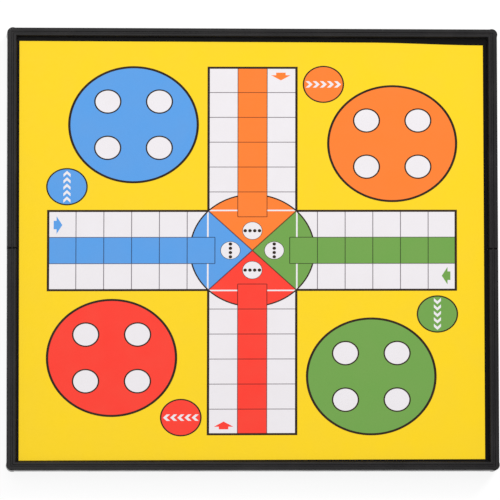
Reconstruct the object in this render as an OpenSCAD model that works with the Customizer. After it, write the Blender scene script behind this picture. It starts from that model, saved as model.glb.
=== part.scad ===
// Folding ludo board box: two moulded trays hinged along the middle, which open flat with
// their undersides up to make the board, and a loose printed sheet that lies in the recess.
// +X runs along the fold, +Y goes from the near half to the far half, and +Z is up.
// The origin is on the table, in the middle of the opened box.

/* [Box] */
// Length along the fold, between the side walls' outer faces at the table
box_l = 320; // [280:1:380]
// Width of one half, from the fold line to the end wall's outer face at the table
half_w = 144.2; // [120:0.1:180]
// Height of one half, from the table to the top of its rim
half_h = 20; // [18:0.5:28]
// How far each outer wall leans inwards between the table and the rim
wall_lean = 0.5; // [0.2:0.1:0.8]
// Thickness of the outer walls
wall_t = 2.6; // [2.4:0.1:3.2]
// Thickness of the walls along the fold
spine_t = 2; // [1.8:0.1:2.6]
// Radius of the round post that makes each outer corner
post_r = 4.2; // [3.8:0.1:4.6]
// How far the corner posts stand proud of the walls
post_proud = 0.3; // [0.2:0.1:1]
// Gap between the two halves along the fold
fold_gap = 0.3; // [0.2:0.05:0.5]

/* [Rim] */
// Width of the rim on the short sides, from the wall's foot to the recess
side_rim_w = 7.2; // [6.8:0.1:8]
// Width of the rim on the long sides, from the wall's foot to the recess
end_rim_w = 6.5; // [6.1:0.1:8]
// Width of the rim's flat outer band, measured on a short side
band_w = 2.5; // [2:0.1:3]
// Width of the groove between the outer band and the bead, measured on a short side
groove_w = 1.2; // [0.9:0.1:1.4]
// Depth of that groove
groove_d = 0.55; // [0.3:0.05:0.8]
// Radius of the rim's outer edge
edge_r = 0.9; // [0.5:0.1:1.2]
// Radius of the two shoulders of the inner bead
bead_r = 0.6; // [0.3:0.1:0.7]
// Thickness of the plastic under the rim's top
rim_top_t = 2; // [1.6:0.1:2.4]
// Thickness of the step between the rim and the deck
step_t = 2; // [1.6:0.1:2.2]

/* [Deck] */
// Depth of the recess that the sheet lies in
recess_d = 3.4; // [2.5:0.1:5]
// How far the recess walls lean outwards from the deck to the rim
recess_lean = 0.9; // [0.2:0.1:1]
// Thickness of the deck
deck_t = 2; // [1.6:0.1:2.6]
// Thickness of the stiffening ribs under the deck
rib_t = 1.6; // [1.2:0.1:2.2]
// Depth of the stiffening ribs
rib_h = 3; // [2:0.5:5]
// Number of ribs across each half
rib_count = 5; // [2:1:8]

/* [Hinge] */
// Radius of the hinge knuckles
knuckle_r = 2; // [1.9:0.05:2.2]
// Radius of the hinge pins
pin_r = 1; // [0.8:0.05:1.1]
// Distance from the middle of each hinge to the foot of the nearer side wall
hinge_in = 55; // [45:1:90]
// Length of the far half's single knuckle
far_knuckle_l = 10; // [8:0.5:14]
// Length of each of the near half's two knuckles
near_knuckle_l = 7; // [6:0.5:10]
// End gap between neighbouring knuckles
knuckle_gap = 0.3; // [0.2:0.05:0.5]
// Gap all round between a knuckle and the wall that it turns in
relief_gap = 0.3; // [0.2:0.05:0.4]
// Radial clearance of a pin in the far half's knuckle, where it turns
pin_run_clear = 0.05; // [0.03:0.01:0.08]
// Radial clearance of a pin in the near half's knuckles, where it is held
pin_held_clear = 0.01; // [0.01:0.01:0.02]
// How far each pin's ends stay inside the knuckles
pin_inset = 0.3; // [0.1:0.1:0.6]
// Height of the knuckles above the table
table_clear = 0.1; // [0.05:0.05:0.3]

/* [Closure] */
// Thickness of the far half's skirt, which covers the near half's lip
skirt_t = 1.2; // [1.1:0.05:1.4]
// Gap between the lip and the skirt
lip_clear = 0.2; // [0.15:0.05:0.3]
// Gap left above the skirt when the box is shut
mate_gap = 0.1; // [0.05:0.05:0.2]
// Gap left below the lip when the box is shut
lip_end_gap = 0.3; // [0.2:0.05:0.5]
// Length of each snap bead on the near half's lip
snap_l = 24; // [12:1:40]
// Distance from the middle of each snap bead to the foot of the nearer side wall
snap_in = 100; // [60:1:120]
// Radius of the snap beads
snap_r = 0.8; // [0.5:0.1:1]
// Play left between a snap bead and the skirt as the box is shut
snap_play = 0.02; // [0.01:0.01:0.05]
// Gap round a snap bead in its groove
snap_clear = 0.15; // [0.1:0.05:0.2]
// Width of the thumb notch in the far half's skirt
notch_w = 22; // [16:1:30]
// Height of the thumb notch
notch_h = 2.2; // [1.5:0.1:3]

/* [Sheet] */
// Thickness of the card
sheet_t = 0.6; // [0.3:0.1:1]
// Gap between the sheet and the near side of the recess
sheet_near_gap = 0.2; // [0.2:0.1:3]
// Gap between the sheet and the far side of the recess
sheet_far_gap = 2.8; // [0.2:0.1:6]
// Gap between the sheet and the left side of the recess
sheet_left_gap = 1; // [0.3:0.1:4]
// Gap between the sheet and the right side of the recess
sheet_right_gap = 2.4; // [0.3:0.1:4]

/* [Hidden] */
$fn = 64;
eps = 0.01;
// Extra length of a cut where it leaves the part
over = 1;
// How deep a rib or web runs into the wall that carries it
weld = 0.8;
// Number of straight steps in a quarter circle of the rim's profile
arc_steps = 6;
half_gap = fold_gap / 2;
deck_z = half_h - recess_d;
ceiling_z = deck_z - deck_t;
end_scale = end_rim_w / side_rim_w;
// Distance of a post's middle from both walls' feet
post_in = post_r - post_proud;
// Storage corners stay rounder than the lip, which keeps the wall even there
storage_r = 2;
lip_r = 2;
hinge_z = knuckle_r + table_clear;
shoulder_z = 2 * hinge_z + mate_gap;
rebate_z = 2 * hinge_z + lip_end_gap;
lip_in = skirt_t + lip_clear;
station_l = far_knuckle_l + 2 * (knuckle_gap + near_knuckle_l);
pin_l = station_l - 2 * pin_inset;
// How far the snap beads stand out of the lip
snap_out = lip_clear - snap_play;
// The beads lie just below the hinge line, inside the height of the lip
snap_z = hinge_z - snap_r / 4;
hinge_x = box_l / 2 - hinge_in;
snap_x = box_l / 2 - snap_in;
sheet_l = box_l - 2 * side_rim_w - sheet_left_gap - sheet_right_gap;
// Width of one leaf, from the crease in the sheet's middle to its outer edge
leaf_w = half_w - end_rim_w - (sheet_near_gap + sheet_far_gap) / 2;
crease_y = -half_w + end_rim_w + sheet_near_gap + leaf_w;
sheet_x = -box_l / 2 + side_rim_w + sheet_left_gap;
tray_colour = [0.17, 0.165, 0.17];
far_tray_colour = [0.2, 0.195, 0.2];

// Points of a quarter circle, from one angle to another
function quarter(cx, cz, r, from, to) = [
    for (i = [0:arc_steps])
        let (a = from + (to - from) * i / arc_steps)
            [cx + r * cos(a), cz + r * sin(a)]
];

// Each wall profile is a list of points, in from the short wall's foot and up from the table.
// They are the outside of the tray, the outer side of the rim's groove, the outer side of
// the bead, and the recess that the sheet lies in.
band_in = wall_lean + band_w;
bead_in = band_in + groove_w;
recess_in = side_rim_w - recess_lean;
shoulder_r = min(bead_r, groove_d);
outside_profile = concat(
    [[0, 0]],
    quarter(wall_lean + edge_r, half_h - edge_r, edge_r, 180, 90)
);
groove_profile = [
    [band_in + groove_w / 4, half_h - groove_d],
    [band_in, half_h],
    [band_in, half_h + over]
];
bead_profile = concat(
    [[bead_in, half_h - groove_d - weld]],
    quarter(bead_in + shoulder_r, half_h - shoulder_r, shoulder_r, 180, 90)
);
recess_profile = concat(
    [[side_rim_w, deck_z]],
    quarter(recess_in - bead_r, half_h - bead_r, bead_r, 0, 90),
    [[recess_in - bead_r, half_h + over]]
);

// The room between a profile on the three walled sides of a half, up to fold_y. Where the
// long side's rim is narrower, its profile is drawn narrower too, so the corners mitre.
module within(profile, fold_y) {
    last = len(profile) - 1;
    intersection() {
        translate([0, over, 0])
            rotate([90, 0, 0])
                linear_extrude(half_w + 2 * over) polygon(concat(
                    [for (p = profile) [p[0] - box_l / 2, p[1]]],
                    [for (i = [last:-1:0]) [box_l / 2 - profile[i][0], profile[i][1]]]
                ));
        translate([-box_l / 2 - over, 0, 0])
            rotate([90, 0, 90])
                linear_extrude(box_l + 2 * over) polygon(concat(
                    [for (p = profile) [p[0] * end_scale - half_w, p[1]]],
                    [[fold_y, profile[last][1]], [fold_y, profile[0][1]]]
                ));
    }
}

// Plan of one half, drawn in from the walls' feet and rounded at its two outer corners.
// The half lies below the X axis and ends at fold_y.
module half_plan(inset, r, fold_y) {
    x = box_l / 2 - inset;
    y = half_w - inset;
    translate([-x, -y + r]) square([2 * x, y - r + fold_y]);
    translate([-x + r, -y]) square([2 * (x - r), y + fold_y]);
    for (s = [-1, 1]) translate([s * (x - r), -y + r]) circle(r);
}

// What is cut from a mitred corner to make room for its post: all that lies outside a cone
// just inside the post's skin
module corner_cut() {
    r = post_r - post_proud / 2;
    slope = wall_lean / half_h;
    difference() {
        translate([-box_l / 2 - over, -half_w - over, -over])
            cube([post_in + over, post_in + over, half_h + 2 * over]);
        translate([-box_l / 2 + post_in, -half_w + post_in, -2 * over])
            cylinder(
                r1 = r + 2 * over * slope,
                r2 = r - (half_h + 2 * over) * slope,
                h = half_h + 4 * over
            );
    }
}

// A round corner post with the wall's lean, kept outside the rim's groove
module corner_post() {
    difference() {
        translate([-box_l / 2 + post_in, -half_w + post_in, 0])
            rotate_extrude() polygon(concat(
                [[0, 0], [post_r, 0]],
                quarter(post_r - wall_lean - edge_r, half_h - edge_r, edge_r, 0, 90),
                [[0, half_h]]
            ));
        translate([-box_l / 2 + band_in, -half_w + band_in * end_scale, -over])
            cube([half_w, half_w, half_h + 2 * over]);
    }
}

// Outside form of one half: walls, rim, deck and corner posts, still solid below
module tray_block() {
    difference() {
        union() {
            difference() {
                within(outside_profile, -half_gap);
                within(groove_profile, over);
                corner_cut();
                mirror([1, 0, 0]) corner_cut();
            }
            within(bead_profile, -half_gap);
            corner_post();
            mirror([1, 0, 0]) corner_post();
        }
        within(recess_profile, over);
    }
}

// The storage space under the deck, and the channel that keeps the rim's wall even
module tray_hollow() {
    fold_y = -half_gap - spine_t;
    translate([0, 0, -over])
        linear_extrude(ceiling_z + over) half_plan(wall_t, storage_r, fold_y);
    x = box_l / 2 - side_rim_w + step_t;
    y = half_w - end_rim_w + step_t;
    difference() {
        translate([0, 0, ceiling_z - over])
            linear_extrude(half_h - rim_top_t - ceiling_z + over) half_plan(wall_t, storage_r, fold_y);
        translate([-x, -y, 0]) cube([2 * x, y, half_h]);
    }
}

// Ribs under the deck: a row across the half, and one along it that joins them
module deck_ribs() {
    x = box_l / 2 - wall_t;
    y0 = -half_w + wall_t;
    y1 = -half_gap - spine_t;
    pitch = 2 * x / (rib_count + 1);
    for (i = [1:rib_count])
        translate([-x + pitch * i - rib_t / 2, y0 - weld, ceiling_z - rib_h])
            cube([rib_t, y1 - y0 + 2 * weld, rib_h + weld]);
    translate([-x + pitch, (y0 + y1 - rib_t) / 2, ceiling_z - rib_h])
        cube([2 * (x - pitch), rib_t, rib_h + weld]);
}

// What is cut away where the halves meet: the foot of the spine wall, the rounded ends
// of the rim, and the relieved inner corner of each rim end
module fold_cuts() {
    x = box_l / 2 - wall_t;
    translate([-x, -half_gap - spine_t - eps, -over])
        cube([2 * x, spine_t + half_gap + over, hinge_z + half_gap + over]);
    difference() {
        translate([-box_l / 2 - over, -half_gap - edge_r, half_h - edge_r])
            cube([box_l + 2 * over, edge_r + over, edge_r + over]);
        translate([-box_l / 2 - 2 * over, -half_gap - edge_r, half_h - edge_r])
            rotate([0, 90, 0]) cylinder(r = edge_r, h = box_l + 4 * over);
    }
    for (s = [-1, 1])
        translate([s * (box_l / 2 - side_rim_w), -half_gap, deck_z])
            rotate(45)
                translate([-edge_r, -edge_r, 0]) cube([2 * edge_r, 2 * edge_r, recess_d + over]);
}

// One half without its hinge and closing edge, which differ between the halves
module plain_tray() {
    difference() {
        tray_block();
        tray_hollow();
        fold_cuts();
    }
    deck_ribs();
}

// A round bar along the hinge line, from x0 to x1
module hinge_bar(r, x0, x1) {
    translate([x0, 0, hinge_z]) rotate([0, 90, 0]) cylinder(r = r, h = x1 - x0);
}

// The middles of the near half's two knuckles, measured from the middle of a hinge
near_knuckle_x = far_knuckle_l / 2 + knuckle_gap + near_knuckle_l / 2;

module near_knuckles(grow_r, grow_l) {
    for (h = [-1, 1], s = [-1, 1]) {
        x = h * hinge_x + s * near_knuckle_x;
        hinge_bar(knuckle_r + grow_r, x - near_knuckle_l / 2 - grow_l, x + near_knuckle_l / 2 + grow_l);
    }
}

module far_knuckles(grow_r, grow_l) {
    for (h = [-1, 1])
        hinge_bar(
            knuckle_r + grow_r,
            h * hinge_x - far_knuckle_l / 2 - grow_l,
            h * hinge_x + far_knuckle_l / 2 + grow_l
        );
}

// The bores of both hinges, and beyond each one the way that its pin is pushed in by
module pin_bores(clear) {
    for (h = [-1, 1]) {
        hinge_bar(pin_r + clear, h * hinge_x - station_l / 2 - eps, h * hinge_x + station_l / 2 + eps);
        out0 = h * (hinge_x + station_l / 2);
        out1 = h * (hinge_x + station_l / 2 + pin_l + over);
        hinge_bar(pin_r + relief_gap, min(out0, out1), max(out0, out1));
    }
}

// The snap beads, or with a larger radius the grooves that they drop into
module snap_bars(r, z) {
    for (s = [-1, 1])
        translate([s * snap_x - snap_l / 2, -half_w + lip_in + snap_r - snap_out, z])
            rotate([0, 90, 0]) cylinder(r = r, h = snap_l);
}

// The near half: its closing edge is an inner lip, and it holds the pins
module near_tray() {
    color(tray_colour)
        difference() {
            union() {
                difference() {
                    plain_tray();
                    difference() {
                        translate([-box_l / 2 - post_r, -half_w - post_r, -over])
                            cube([box_l + 2 * post_r, half_w + 2 * post_r, shoulder_z + over]);
                        translate([0, 0, -2 * over])
                            linear_extrude(shoulder_z + 3 * over) half_plan(lip_in, lip_r, 2 * post_r);
                    }
                    far_knuckles(relief_gap, knuckle_gap);
                }
                near_knuckles(0, 0);
                snap_bars(snap_r, snap_z);
            }
            pin_bores(pin_held_clear);
        }
}

// The far half: its closing edge is an outer skirt with a thumb notch
module far_tray() {
    color(far_tray_colour)
        mirror([0, 1, 0])
            difference() {
                union() {
                    difference() {
                        plain_tray();
                        translate([0, 0, -over])
                            linear_extrude(rebate_z + over)
                                difference() {
                                    half_plan(skirt_t, lip_r + lip_clear, over);
                                    half_plan(wall_t + lip_clear, storage_r, 2 * over);
                                }
                        near_knuckles(relief_gap, relief_gap);
                        thumb_notch();
                    }
                    far_knuckles(0, 0);
                }
                pin_bores(pin_run_clear);
                snap_bars(snap_r + snap_clear, 2 * hinge_z - snap_z);
            }
}

// A shallow round notch in the skirt, where a thumb pulls the shut halves apart
module thumb_notch() {
    r = (notch_w * notch_w / 4 + notch_h * notch_h) / (2 * notch_h);
    translate([0, -half_w + skirt_t + eps, notch_h - r])
        rotate([90, 0, 0]) cylinder(r = r, h = skirt_t + over, $fn = 128);
}

// A steel pin with chamfered ends
module hinge_pin() {
    chamfer = pin_r / 4;
    color([0.75, 0.76, 0.78])
        translate([-pin_l / 2, 0, hinge_z])
            rotate([0, 90, 0])
                rotate_extrude() polygon([
                    [0, 0], [pin_r - chamfer, 0], [pin_r, chamfer],
                    [pin_r, pin_l - chamfer], [pin_r - chamfer, pin_l], [0, pin_l]
                ]);
}

module left_hinge_pin() {
    translate([-hinge_x, 0, 0]) hinge_pin();
}

module right_hinge_pin() {
    translate([hinge_x, 0, 0]) hinge_pin();
}

// One leaf of the printed card, from the crease outwards
module sheet_leaf(y0) {
    color([0.98, 0.84, 0.2])
        translate([sheet_x, y0, deck_z]) cube([sheet_l, leaf_w, sheet_t]);
}

module near_sheet_leaf() {
    sheet_leaf(crease_y - leaf_w);
}

module far_sheet_leaf() {
    sheet_leaf(crease_y);
}

near_tray();
far_tray();
left_hinge_pin();
right_hinge_pin();
near_sheet_leaf();
far_sheet_leaf();
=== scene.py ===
"""Looks of a folding ludo board box: two black moulded trays hinged along the middle,
opened flat on a table, with a printed card lying loose in the recess of the board."""

import math

import bmesh
import bpy
from mathutils import Matrix, Vector


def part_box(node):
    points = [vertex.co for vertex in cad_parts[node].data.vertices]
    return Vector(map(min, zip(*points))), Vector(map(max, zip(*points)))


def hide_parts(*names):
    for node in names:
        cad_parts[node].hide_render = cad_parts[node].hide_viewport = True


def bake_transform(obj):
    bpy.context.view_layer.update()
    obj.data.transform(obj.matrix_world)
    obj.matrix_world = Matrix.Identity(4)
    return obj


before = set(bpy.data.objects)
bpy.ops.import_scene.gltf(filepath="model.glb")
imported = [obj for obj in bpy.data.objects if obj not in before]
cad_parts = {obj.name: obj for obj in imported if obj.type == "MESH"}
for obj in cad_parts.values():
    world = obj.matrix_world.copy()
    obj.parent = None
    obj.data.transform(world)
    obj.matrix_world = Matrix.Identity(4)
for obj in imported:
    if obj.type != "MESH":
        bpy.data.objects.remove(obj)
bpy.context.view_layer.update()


# Camera
# A long lens almost straight above the opened board, leaning a little towards the near edge, so
# that the near wall shows as a thin strip below the rim and the far rim shows its inner wall.
AIMED_AT = Vector((-0.00169, -0.00028, 0.010))
CAMERA_DISTANCE = 3.0
LEAN_TO_NEAR = math.radians(4.49)
LEAN_TO_LEFT = math.radians(2.62)
ROLL = math.radians(0.10)
LENS_MM = 331.8

sight = Vector((math.sin(LEAN_TO_LEFT), math.sin(LEAN_TO_NEAR), 0))
sight.z = -math.sqrt(1 - sight.length_squared)
camera_data = bpy.data.cameras.new("board_camera")
camera_data.lens = LENS_MM
camera_data.sensor_width = 36
camera = bpy.data.objects.new("board_camera", camera_data)
camera.location = AIMED_AT - sight * CAMERA_DISTANCE
picture_right = sight.cross(Vector((math.sin(ROLL), math.cos(ROLL), 0))).normalized()
picture_axes = Matrix((picture_right, picture_right.cross(sight), -sight))
camera.rotation_euler = picture_axes.transposed().to_euler()
bpy.context.scene.collection.objects.link(camera)
bpy.context.scene.camera = camera


# The two trays
# Each is one injection moulding in black polystyrene, with a satin skin and a fine spark grain
# from the mould. Handling leaves faint scuffs.
SATIN_BLACK = (0.0100, 0.0093, 0.0100, 1)
SCUFFED_BLACK = (0.0165, 0.0152, 0.0157, 1)
# Painted shade for the recess: the deck round the card gets a darker black and less sheen than the
# rim.
SHADED_DECK_BLACK = (0.0040, 0.0037, 0.0037, 1)
PLASTIC_SHEEN, SHADED_DECK_SHEEN = 0.13, 0.04
PLASTIC_ROUGHNESS = (0.26, 0.36)
SCUFFS_PER_METRE, SMEARS_PER_METRE, GRAIN_PER_METRE = 46, 90, 2600
SCUFF_SPAN = (0.50, 0.72)
NOISE_SPAN = (0.3, 0.7)
GRAIN_STRENGTH, GRAIN_DEPTH = 0.35, 0.00006
DECK_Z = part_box("near_sheet_leaf")[0].z
DECK_TOLERANCE = 0.0002


def new_finish(name):
    """An empty material, with its node tree and its surface shader."""
    finish = bpy.data.materials.new(name)
    finish.use_nodes = True
    return finish, finish.node_tree, finish.node_tree.nodes["Principled BSDF"]


def piece_place(tree):
    """The place of a point in metres, on the piece's own axes."""
    return tree.nodes.new("ShaderNodeTexCoord").outputs["Object"]


def speckle(tree, per_metre, detail, where=None):
    """Noise between 0 and 1 on the piece's own coordinates, or on others that are given."""
    noise = tree.nodes.new("ShaderNodeTexNoise")
    noise.inputs["Scale"].default_value = per_metre
    noise.inputs["Detail"].default_value = detail
    tree.links.new(where or piece_place(tree), noise.inputs["Vector"])
    return noise.outputs["Fac"]


def spread(tree, fac, from_low, from_high, to_low, to_high):
    """The same value, mapped from one range to another and held inside it."""
    remap = tree.nodes.new("ShaderNodeMapRange")
    for socket, value in zip(remap.inputs[1:5], (from_low, from_high, to_low, to_high)):
        socket.default_value = value
    tree.links.new(fac, remap.inputs["Value"])
    return remap.outputs["Result"]


def emboss(tree, shader, height, strength, depth):
    """A bump from a height between 0 and 1, depth metres deep."""
    bump = tree.nodes.new("ShaderNodeBump")
    bump.inputs["Strength"].default_value = strength
    bump.inputs["Distance"].default_value = depth
    tree.links.new(height, bump.inputs["Height"])
    tree.links.new(bump.outputs["Normal"], shader.inputs["Normal"])


def blend_colours(tree, fac, first, second, way="MIX"):
    """first where fac is 0 and second where it is 1; each is a colour or a socket."""
    mixer = tree.nodes.new("ShaderNodeMix")
    mixer.data_type = "RGBA"
    mixer.blend_type = way
    tree.links.new(fac, mixer.inputs["Factor"])
    for socket, colour in ((mixer.inputs[6], first), (mixer.inputs[7], second)):
        if isinstance(colour, tuple):
            socket.default_value = colour
        else:
            tree.links.new(colour, socket)
    return mixer.outputs[2]


black_plastic, tree, shader = new_finish("black_polystyrene")
scuffs = spread(tree, speckle(tree, SCUFFS_PER_METRE, 6), *SCUFF_SPAN, 0, 1)
satin = blend_colours(tree, scuffs, SATIN_BLACK, SCUFFED_BLACK)
# The upper face of the deck, seen in the gaps round the card, carries painted shade: a darker
# black with less sheen than the rim. It is told from the rest by its height.
height = tree.nodes.new("ShaderNodeSeparateXYZ")
tree.links.new(piece_place(tree), height.inputs["Vector"])
at_deck = tree.nodes.new("ShaderNodeMath")
at_deck.operation = "COMPARE"
at_deck.inputs[1].default_value = DECK_Z
at_deck.inputs[2].default_value = DECK_TOLERANCE
tree.links.new(height.outputs["Z"], at_deck.inputs[0])
on_deck = at_deck.outputs[0]
tree.links.new(blend_colours(tree, on_deck, satin, SHADED_DECK_BLACK), shader.inputs["Base Color"])
tree.links.new(
    spread(tree, on_deck, 0, 1, PLASTIC_SHEEN, SHADED_DECK_SHEEN), shader.inputs["Specular IOR Level"]
)
smears = speckle(tree, SMEARS_PER_METRE, 4)
tree.links.new(
    spread(tree, smears, *NOISE_SPAN, *PLASTIC_ROUGHNESS), shader.inputs["Roughness"]
)
emboss(tree, shader, speckle(tree, GRAIN_PER_METRE, 2), GRAIN_STRENGTH, GRAIN_DEPTH)

for tray in ("near_tray", "far_tray"):
    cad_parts[tray].material_slots[0].material = black_plastic


# The two hinge pins
# Drawn steel wire, cut to length and pushed through the knuckles from the side. The drawing
# leaves fine lines along the wire, some of them a little duller.
WIRE_STEEL = (0.56, 0.56, 0.57, 1)
DULL_STEEL = (0.38, 0.38, 0.39, 1)
STEEL_ROUGHNESS = (0.26, 0.42)
LINES_PER_METRE = 5200
LINES_DRAWN_OUT = (0.02, 1, 1)
LINE_STRENGTH, LINE_DEPTH = 0.25, 0.00002

drawn_steel, tree, shader = new_finish("drawn_steel_wire")
lengthwise = tree.nodes.new("ShaderNodeMapping")
lengthwise.inputs["Scale"].default_value = LINES_DRAWN_OUT
tree.links.new(piece_place(tree), lengthwise.inputs["Vector"])
drawing_lines = speckle(tree, LINES_PER_METRE, 2, lengthwise.outputs["Vector"])
tree.links.new(
    blend_colours(tree, drawing_lines, DULL_STEEL, WIRE_STEEL), shader.inputs["Base Color"]
)
tree.links.new(
    spread(tree, drawing_lines, *NOISE_SPAN, *STEEL_ROUGHNESS), shader.inputs["Roughness"]
)
shader.inputs["Metallic"].default_value = 1
emboss(tree, shader, drawing_lines, LINE_STRENGTH, LINE_DEPTH)

for pin in ("left_hinge_pin", "right_hinge_pin"):
    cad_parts[pin].material_slots[0].material = drawn_steel


# The printed card
# One piece of card, printed and varnished on its upper face, creased once along the middle and
# laid loose in the recess. Its two long edges were cut a little out of square.
CARD_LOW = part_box("near_sheet_leaf")[0]
CARD_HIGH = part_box("far_sheet_leaf")[1]
CREASE_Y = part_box("far_sheet_leaf")[0].y
CREASE_HALF_WIDTH = 0.0006
CREASE_ROWS = (-1, -0.5, 0, 0.5, 1)
SCORED_PART = 0.8
AIR_UNDER_CARD = 0.00003
CARD_LENGTH = CARD_HIGH.x - CARD_LOW.x
CARD_WIDTH = CARD_HIGH.y - CARD_LOW.y
CARD_THICKNESS = CARD_HIGH.z - CARD_LOW.z
CARD_MIDDLE = (CARD_LOW + CARD_HIGH) / 2
NEAR_EDGE_RISE = 0.0009
FAR_EDGE_RISE = 0.0003
CORNER_FALL = 0.0015
CORNER_FALL_FROM_X = 0.075
CARD_CELLS = (96, 88)
SAME_PLACE = 0.00001

# The artwork, in millimetres from its own middle. It is drawn square, printed 11% wider, and the
# sheet went through the press a fifth of a degree askew.
MM_PER_METRE = 1000
PRINT_SIZE = 0.9945
PRINT_WIDENED = 1.1105
PRINT_SKEW = Vector((0.0035, 0.0028))
PRINT_MIDDLE = Vector((-0.0005, -0.0011))
ARM_END = 120.0
ARM_HALF = 25.9
LANE_HALF = 8.62
SQUARE = 16.33
LANE_START = 22.0
HUB_R = 36.6
HOME_R, HOME_AT = 5.75, 12.9
DOT_R, DOT_PITCH = 1.05, 2.8
NEST_R, NEST_ALONG, NEST_ACROSS = 37.8, 70.1, 82.5
SPOT_R, SPOT_AT = 7.6, 15.2
START_R, START_ALONG, START_ACROSS = 11.8, 109.1, 41.8
ARROW_TIP, ARROW_WIDE, ARROW_TAIL, ARROW_ACROSS = 111.7, 115.1, 116.8, 16.7
ARROW_HALF, SHAFT_HALF, SHAFT_INTO_HEAD = 5.75, 2.8, 0.5
CHEVRON_PITCH, CHEVRON_HALF_HEIGHT = 4.2, 2.1
CHEVRON_WHITE_PART = 0.48
CHEVRONS_IN_ROW = 5
OUTLINE, FINE_OUTLINE, THIN_LINE, DIAGONAL_LINE, HOME_LINE = 1.40, 0.85, 0.5, 1.0, 0.3
WHITE_BAR, WHITE_BAR_AT = 0.95, 26.2

YELLOW_INK = (0.982, 0.675, 0.013, 1)
WHITE_INK = (0.855, 0.823, 0.855, 1)
BLUE_INK = (0.100, 0.345, 0.795, 1)
ORANGE_INK = (1.000, 0.218, 0.030, 1)
GREEN_INK = (0.162, 0.366, 0.074, 1)
RED_INK = (0.980, 0.050, 0.032, 1)
OUTLINE_INK = (0.012, 0.004, 0.001, 1)
LINE_SHADE = (0.22, 0.20, 0.22, 1)
THICK_INK = (0.45, 0.33, 0.20, 1)
THICK_INK_PART = 0.035
INK_PATCHES_PER_METRE, VARNISH_PATCHES_PER_METRE, FIBRES_PER_METRE = 60, 240, 1500
VARNISH_SHEEN = 0.12
VARNISH_ROUGHNESS = (0.40, 0.52)
VARNISH_RELIEF, FIBRE_DEPTH = 0.12, 0.00006
CREASE_MARK_MM, CREASE_MARK_DIP = 0.5, 0.6
PAPER_CORE = (0.80, 0.77, 0.70, 1)
PAPER_FIBRE = (0.66, 0.63, 0.57, 1)
PAPER_ROUGHNESS = 0.85
PAPER_FLECKS_PER_METRE, PAPER_GRAIN_PER_METRE = 700, 1800
PAPER_RELIEF, PAPER_GRAIN_DEPTH = 0.3, 0.00005

card_mesh = bmesh.new()
card_mesh.loops.layers.uv.new("print")
bmesh.ops.create_grid(
    card_mesh, x_segments=CARD_CELLS[0], y_segments=CARD_CELLS[1], size=0.5
)
bmesh.ops.scale(card_mesh, vec=(CARD_LENGTH, CARD_WIDTH, 1), verts=card_mesh.verts)
bmesh.ops.translate(
    card_mesh, vec=(CARD_MIDDLE.x, CARD_MIDDLE.y, CARD_HIGH.z), verts=card_mesh.verts
)
for row in CREASE_ROWS:
    bmesh.ops.bisect_plane(
        card_mesh,
        geom=card_mesh.verts[:] + card_mesh.edges[:] + card_mesh.faces[:],
        plane_co=(0, CREASE_Y + row * CREASE_HALF_WIDTH, 0),
        plane_no=(0, 1, 0),
        dist=SAME_PLACE,
    )


def eased(value):
    """0 to 1, slow at both ends."""
    value = min(1, max(0, value))
    return value * value * (3 - 2 * value)


for vert in card_mesh.verts:
    across_card = (vert.co.x - CARD_LOW.x) / CARD_LENGTH
    near_part = max(0, (CREASE_Y - CREASE_HALF_WIDTH - vert.co.y) / (CREASE_Y - CARD_LOW.y))
    far_part = max(0, (vert.co.y - CREASE_Y - CREASE_HALF_WIDTH) / (CARD_HIGH.y - CREASE_Y))
    to_corner = eased((vert.co.x - CORNER_FALL_FROM_X) / (CARD_HIGH.x - CORNER_FALL_FROM_X))
    vert.co.y += near_part * NEAR_EDGE_RISE * across_card
    vert.co.y += far_part * (FAR_EDGE_RISE * (1 - across_card) - CORNER_FALL * to_corner)
# The cut edge stays sharp all the way round.
for edge in card_mesh.edges:
    edge.smooth = not edge.is_boundary

print_map = card_mesh.loops.layers.uv["print"]
for face in card_mesh.faces:
    for loop in face.loops:
        from_left = loop.vert.co.x - PRINT_MIDDLE.x - PRINT_SKEW.x * loop.vert.co.y
        from_near = loop.vert.co.y - PRINT_MIDDLE.y - PRINT_SKEW.y * loop.vert.co.x
        loop[print_map].uv = (
            from_left * MM_PER_METRE / PRINT_SIZE / PRINT_WIDENED,
            from_near * MM_PER_METRE / PRINT_SIZE,
        )

card = bpy.data.objects.new("printed_card", bpy.data.meshes.new("printed_card"))
bpy.context.scene.collection.objects.link(card)
card_mesh.to_mesh(card.data)
card_mesh.free()
for polygon in card.data.polygons:
    polygon.use_smooth = True
# The crease is scored from behind, so the card is thinner there.
unscored = card.vertex_groups.new(name="unscored")
for vert in card.data.vertices:
    scored = abs(vert.co.y - CREASE_Y) < CREASE_HALF_WIDTH + SAME_PLACE
    unscored.add([vert.index], SCORED_PART if scored else 1, "REPLACE")
thickness = card.modifiers.new("card_thickness", "SOLIDIFY")
thickness.thickness = CARD_THICKNESS - AIR_UNDER_CARD
thickness.vertex_group = "unscored"
thickness.offset = -1
thickness.material_offset = 1
thickness.material_offset_rim = 1

printed_face, tree, shader = new_finish("printed_varnished_card")


def reckon(operation, *terms):
    """One step of arithmetic on the print map; terms are numbers or sockets."""
    step = tree.nodes.new("ShaderNodeMath")
    step.operation = operation
    for socket, term in zip(step.inputs, terms):
        if isinstance(term, (int, float)):
            socket.default_value = term
        else:
            tree.links.new(term, socket)
    return step.outputs[0]


def distance(along, across):
    """How far a point is from where along and across are both 0."""
    return reckon("SQRT", reckon("MULTIPLY_ADD", along, along, reckon("MULTIPLY", across, across)))


def below(value, limit):
    """1 where value is below limit."""
    return reckon("LESS_THAN", value, limit)


def above(value, limit):
    """1 where value is above limit."""
    return reckon("GREATER_THAN", value, limit)


def both(first, *others):
    """1 where every mask is 1."""
    for other in others:
        first = reckon("MULTIPLY", first, other)
    return first


def either(first, *others):
    """1 where any mask is 1."""
    for other in others:
        first = reckon("MAXIMUM", first, other)
    return first


def line_at(value, at, width):
    """1 within half a line's width of a value."""
    return below(reckon("ABSOLUTE", reckon("SUBTRACT", value, at)), width / 2)


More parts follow.
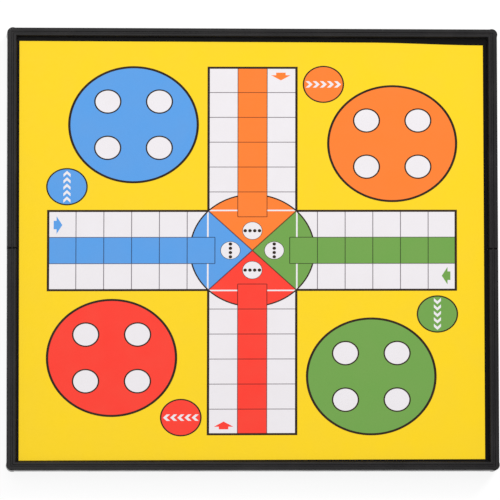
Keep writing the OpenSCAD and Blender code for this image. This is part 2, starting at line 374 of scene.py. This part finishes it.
map_reader = tree.nodes.new("ShaderNodeUVMap")
map_reader.uv_map = "print"
map_axes = tree.nodes.new("ShaderNodeSeparateXYZ")
tree.links.new(map_reader.outputs["UV"], map_axes.inputs["Vector"])
sideways, upwards = map_axes.outputs["X"], map_axes.outputs["Y"]
from_upright = reckon("ABSOLUTE", sideways)
from_level = reckon("ABSOLUTE", upwards)
out_from_hub = reckon("MAXIMUM", from_upright, from_level)
off_arm_axis = reckon("MINIMUM", from_upright, from_level)

# The pattern repeats at every quarter turn. A player's quarter takes its colour from the signs
# of the two distances, and an arm takes its colour from the larger of them.
to_right, to_top = above(sideways, 0), above(upwards, 0)
in_level_arm = above(reckon("SUBTRACT", from_upright, from_level), 0)
bottom_quarters = blend_colours(tree, to_right, RED_INK, GREEN_INK)
top_quarters = blend_colours(tree, to_right, BLUE_INK, ORANGE_INK)
quarter_ink = blend_colours(tree, to_top, bottom_quarters, top_quarters)
upright_arms = blend_colours(tree, to_top, RED_INK, ORANGE_INK)
level_arms = blend_colours(tree, to_right, BLUE_INK, GREEN_INK)
arm_ink = blend_colours(tree, in_level_arm, upright_arms, level_arms)
turned = above(reckon("MULTIPLY", sideways, upwards), 0)
sway = reckon("MULTIPLY", turned, reckon("SUBTRACT", from_level, from_upright))
along = reckon("ADD", from_upright, sway)
across = reckon("SUBTRACT", from_level, sway)

# Yellow ground and the cross of white squares
beyond_end = reckon("SUBTRACT", out_from_hub, ARM_END)
beyond_side = reckon("SUBTRACT", off_arm_axis, ARM_HALF)
beyond_cross = reckon("MAXIMUM", beyond_end, beyond_side)
artwork = blend_colours(tree, below(beyond_cross, 0), YELLOW_INK, WHITE_INK)

# Hub and the coloured lane down the middle of each arm
from_middle = distance(sideways, upwards)
in_hub = below(from_middle, HUB_R)
in_lane = both(
    below(off_arm_axis, LANE_HALF),
    above(out_from_hub, LANE_START),
    below(out_from_hub, ARM_END),
)
artwork = blend_colours(tree, either(in_hub, in_lane), artwork, arm_ink)
white_bars = both(
    in_hub, above(off_arm_axis, LANE_HALF), line_at(out_from_hub, WHITE_BAR_AT, WHITE_BAR)
)
artwork = blend_colours(tree, white_bars, artwork, WHITE_INK)

# Lines between the squares, round the hub and along its diagonals
from_row_line = reckon("PINGPONG", reckon("SUBTRACT", ARM_END, out_from_hub), SQUARE / 2)
row_lines = both(
    below(from_row_line, THIN_LINE / 2),
    below(out_from_hub, ARM_END - SQUARE / 2),
    below(off_arm_axis, ARM_HALF),
    either(above(from_middle, HUB_R), in_lane),
)
lane_lines = both(
    line_at(off_arm_axis, LANE_HALF, THIN_LINE),
    above(out_from_hub, LANE_START),
    below(out_from_hub, ARM_END),
)
lane_ends = both(line_at(out_from_hub, LANE_START, THIN_LINE), below(off_arm_axis, LANE_HALF))
from_diagonal = reckon("SUBTRACT", from_upright, from_level)
diagonals = both(in_hub, line_at(from_diagonal, 0, DIAGONAL_LINE))
fine_lines = either(row_lines, lane_lines, lane_ends, diagonals)
artwork = blend_colours(tree, fine_lines, artwork, LINE_SHADE, "MULTIPLY")

# Home discs, each with a row of four plain dots
home_off = reckon("SUBTRACT", out_from_hub, HOME_AT)
home_gap = distance(home_off, off_arm_axis)
artwork = blend_colours(tree, below(home_gap, HOME_R), artwork, WHITE_INK)
dot_off = reckon("SUBTRACT", DOT_PITCH / 2, reckon("PINGPONG", off_arm_axis, DOT_PITCH / 2))
home_dots = both(
    below(distance(home_off, dot_off), DOT_R),
    below(off_arm_axis, DOT_PITCH * 2),
    below(home_gap, HOME_R),
)
artwork = blend_colours(tree, home_dots, artwork, OUTLINE_INK)

# Entry arrow in the end square of each arm
arrow_off = reckon("ABSOLUTE", reckon("SUBTRACT", across, ARROW_ACROSS))
arrow_slope = ARROW_HALF / (ARROW_WIDE - ARROW_TIP)
arrow_head = both(
    below(along, ARROW_WIDE),
    below(arrow_off, reckon("MULTIPLY", reckon("SUBTRACT", along, ARROW_TIP), arrow_slope)),
)
arrow_shaft = both(
    below(arrow_off, SHAFT_HALF),
    above(along, ARROW_WIDE - SHAFT_INTO_HEAD),
    below(along, ARROW_TAIL),
)
artwork = blend_colours(tree, either(arrow_head, arrow_shaft), artwork, quarter_ink)

# Nests with four white spots, and start discs with a row of five plain chevrons
nest_along = reckon("SUBTRACT", along, NEST_ALONG)
nest_across = reckon("SUBTRACT", across, NEST_ACROSS)
nest_gap = distance(nest_along, nest_across)
spot_gap = distance(
    reckon("SUBTRACT", reckon("ABSOLUTE", nest_along), SPOT_AT),
    reckon("SUBTRACT", reckon("ABSOLUTE", nest_across), SPOT_AT),
)
start_along = reckon("SUBTRACT", along, START_ALONG)
start_across = reckon("SUBTRACT", across, START_ACROSS)
start_gap = distance(start_along, start_across)
discs = either(below(nest_gap, NEST_R), below(start_gap, START_R))
artwork = blend_colours(tree, discs, artwork, quarter_ink)
chevron_lean = reckon("ABSOLUTE", start_along)
chevron_run = reckon("ADD", start_across, chevron_lean)
# Whole chevrons are added to the run, because MODULO turns round below 0.
chevron_part = reckon("MODULO", reckon("ADD", chevron_run, 10 * CHEVRON_PITCH), CHEVRON_PITCH)
chevrons = both(
    below(chevron_part, CHEVRON_PITCH * CHEVRON_WHITE_PART),
    below(chevron_lean, CHEVRON_HALF_HEIGHT),
    below(reckon("ABSOLUTE", chevron_run), CHEVRON_PITCH * CHEVRONS_IN_ROW / 2),
)
artwork = blend_colours(tree, either(below(spot_gap, SPOT_R), chevrons), artwork, WHITE_INK)

# Dark outlines go over everything
cross_line = both(line_at(beyond_cross, 0, OUTLINE), above(from_middle, HUB_R))
hub_ring = both(line_at(from_middle, HUB_R, FINE_OUTLINE), above(off_arm_axis, LANE_HALF))
outlines = either(
    cross_line,
    hub_ring,
    line_at(nest_gap, NEST_R, OUTLINE),
    line_at(start_gap, START_R, FINE_OUTLINE),
    line_at(spot_gap, SPOT_R, FINE_OUTLINE),
    line_at(home_gap, HOME_R, HOME_LINE),
)
artwork = blend_colours(tree, outlines, artwork, OUTLINE_INK)

# The ink lies a little unevenly, and the varnish follows the fibres of the card
ink_patches = speckle(tree, INK_PATCHES_PER_METRE, 5)
ink_coat = spread(tree, ink_patches, *NOISE_SPAN, 0, THICK_INK_PART)
artwork = blend_colours(tree, ink_coat, artwork, THICK_INK)
tree.links.new(artwork, shader.inputs["Base Color"])
varnish_patches = speckle(tree, VARNISH_PATCHES_PER_METRE, 4)
tree.links.new(
    spread(tree, varnish_patches, *NOISE_SPAN, *VARNISH_ROUGHNESS), shader.inputs["Roughness"]
)
shader.inputs["Specular IOR Level"].default_value = VARNISH_SHEEN
fibres = speckle(tree, FIBRES_PER_METRE, 3)
square_on = reckon("MULTIPLY_ADD", sideways, PRINT_SKEW.y * PRINT_WIDENED, upwards)
crease_at = (CREASE_Y - PRINT_MIDDLE.y) * MM_PER_METRE
crease_dip = reckon("MULTIPLY", line_at(square_on, crease_at, CREASE_MARK_MM), CREASE_MARK_DIP)
emboss(tree, shader, reckon("SUBTRACT", fibres, crease_dip), VARNISH_RELIEF, FIBRE_DEPTH)
card.data.materials.append(printed_face)

card_core, tree, shader = new_finish("grey_white_card_core")
flecks = speckle(tree, PAPER_FLECKS_PER_METRE, 5)
tree.links.new(
    blend_colours(tree, flecks, PAPER_CORE, PAPER_FIBRE), shader.inputs["Base Color"]
)
shader.inputs["Roughness"].default_value = PAPER_ROUGHNESS
paper_grain = speckle(tree, PAPER_GRAIN_PER_METRE, 3)
emboss(tree, shader, paper_grain, PAPER_RELIEF, PAPER_GRAIN_DEPTH)
card.data.materials.append(card_core)

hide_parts("near_sheet_leaf", "far_sheet_leaf")
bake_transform(card)


# Table and light
# A plain white table under two soft lamps and an even white surround. Where the table and the
# surround are seen straight or in a gloss they are lifted to white, and the table keeps the soft
# shadow of the box.
TABLE_HALF = 3.0
TABLE_WHITE = (0.80, 0.80, 0.80, 1)
SHADOW_WHITE = (0.20, 0.20, 0.20, 1)
TABLE_LIFT = 0.85
SURROUND_LIGHT, SURROUND_SEEN = 0.32, 1.0
table_mesh = bmesh.new()
bmesh.ops.create_grid(table_mesh, x_segments=1, y_segments=1, size=TABLE_HALF)
table = bpy.data.objects.new("table", bpy.data.meshes.new("table"))
bpy.context.scene.collection.objects.link(table)
table_mesh.to_mesh(table.data)
table_mesh.free()


def background_rays(tree):
    """1 for the rays that show the background: straight, off a gloss or through glass."""
    rays = tree.nodes.new("ShaderNodeLightPath")
    met = rays.outputs["Is Camera Ray"]
    for kind in ("Is Glossy Ray", "Is Transmission Ray"):
        either_kind = tree.nodes.new("ShaderNodeMath")
        either_kind.operation = "MAXIMUM"
        tree.links.new(met, either_kind.inputs[0])
        tree.links.new(rays.outputs[kind], either_kind.inputs[1])
        met = either_kind.outputs[0]
    return met


white_table = bpy.data.materials.new("white_table")
white_table.use_nodes = True
tree = white_table.node_tree
tree.nodes.clear()
output = tree.nodes.new("ShaderNodeOutputMaterial")
matt = tree.nodes.new("ShaderNodeBsdfDiffuse")
matt.inputs["Color"].default_value = TABLE_WHITE
part_matt = tree.nodes.new("ShaderNodeBsdfDiffuse")
part_matt.inputs["Color"].default_value = SHADOW_WHITE
lift = tree.nodes.new("ShaderNodeEmission")
lift.inputs["Strength"].default_value = TABLE_LIFT
lifted = tree.nodes.new("ShaderNodeAddShader")
seen = tree.nodes.new("ShaderNodeMixShader")
tree.links.new(part_matt.outputs[0], lifted.inputs[0])
tree.links.new(lift.outputs[0], lifted.inputs[1])
tree.links.new(background_rays(tree), seen.inputs["Fac"])
tree.links.new(matt.outputs[0], seen.inputs[1])
tree.links.new(lifted.outputs[0], seen.inputs[2])
tree.links.new(seen.outputs[0], output.inputs["Surface"])
table.data.materials.append(white_table)

surround = bpy.data.worlds.new("white_surround")
bpy.context.scene.world = surround
surround.use_nodes = True
tree = surround.node_tree
background = tree.nodes["Background"]
level = tree.nodes.new("ShaderNodeMapRange")
level.inputs["To Min"].default_value = SURROUND_LIGHT
level.inputs["To Max"].default_value = SURROUND_SEEN
tree.links.new(background_rays(tree), level.inputs["Value"])
tree.links.new(level.outputs["Result"], background.inputs["Strength"])
background.inputs["Color"].default_value = (1, 1, 1, 1)

for lamp_name, lamp_size, watts, lamp_place in (
    ("overhead_softbox", (1.6, 1.1), 10.5, Vector((-0.35, 0.15, 1.50))),
    ("slanting_softbox", (0.8, 0.8), 30.0, Vector((1.10, 1.40, 1.45))),
):
    lamp = bpy.data.lights.new(lamp_name, "AREA")
    lamp.shape = "RECTANGLE"
    lamp.size, lamp.size_y = lamp_size
    lamp.energy = watts
    lamp_stand = bpy.data.objects.new(lamp_name, lamp)
    lamp_stand.location = lamp_place
    lamp_stand.rotation_euler = (-lamp_place).to_track_quat("-Z", "Y").to_euler()
    bpy.context.scene.collection.objects.link(lamp_stand)

bpy.context.scene.view_settings.view_transform = "Standard"
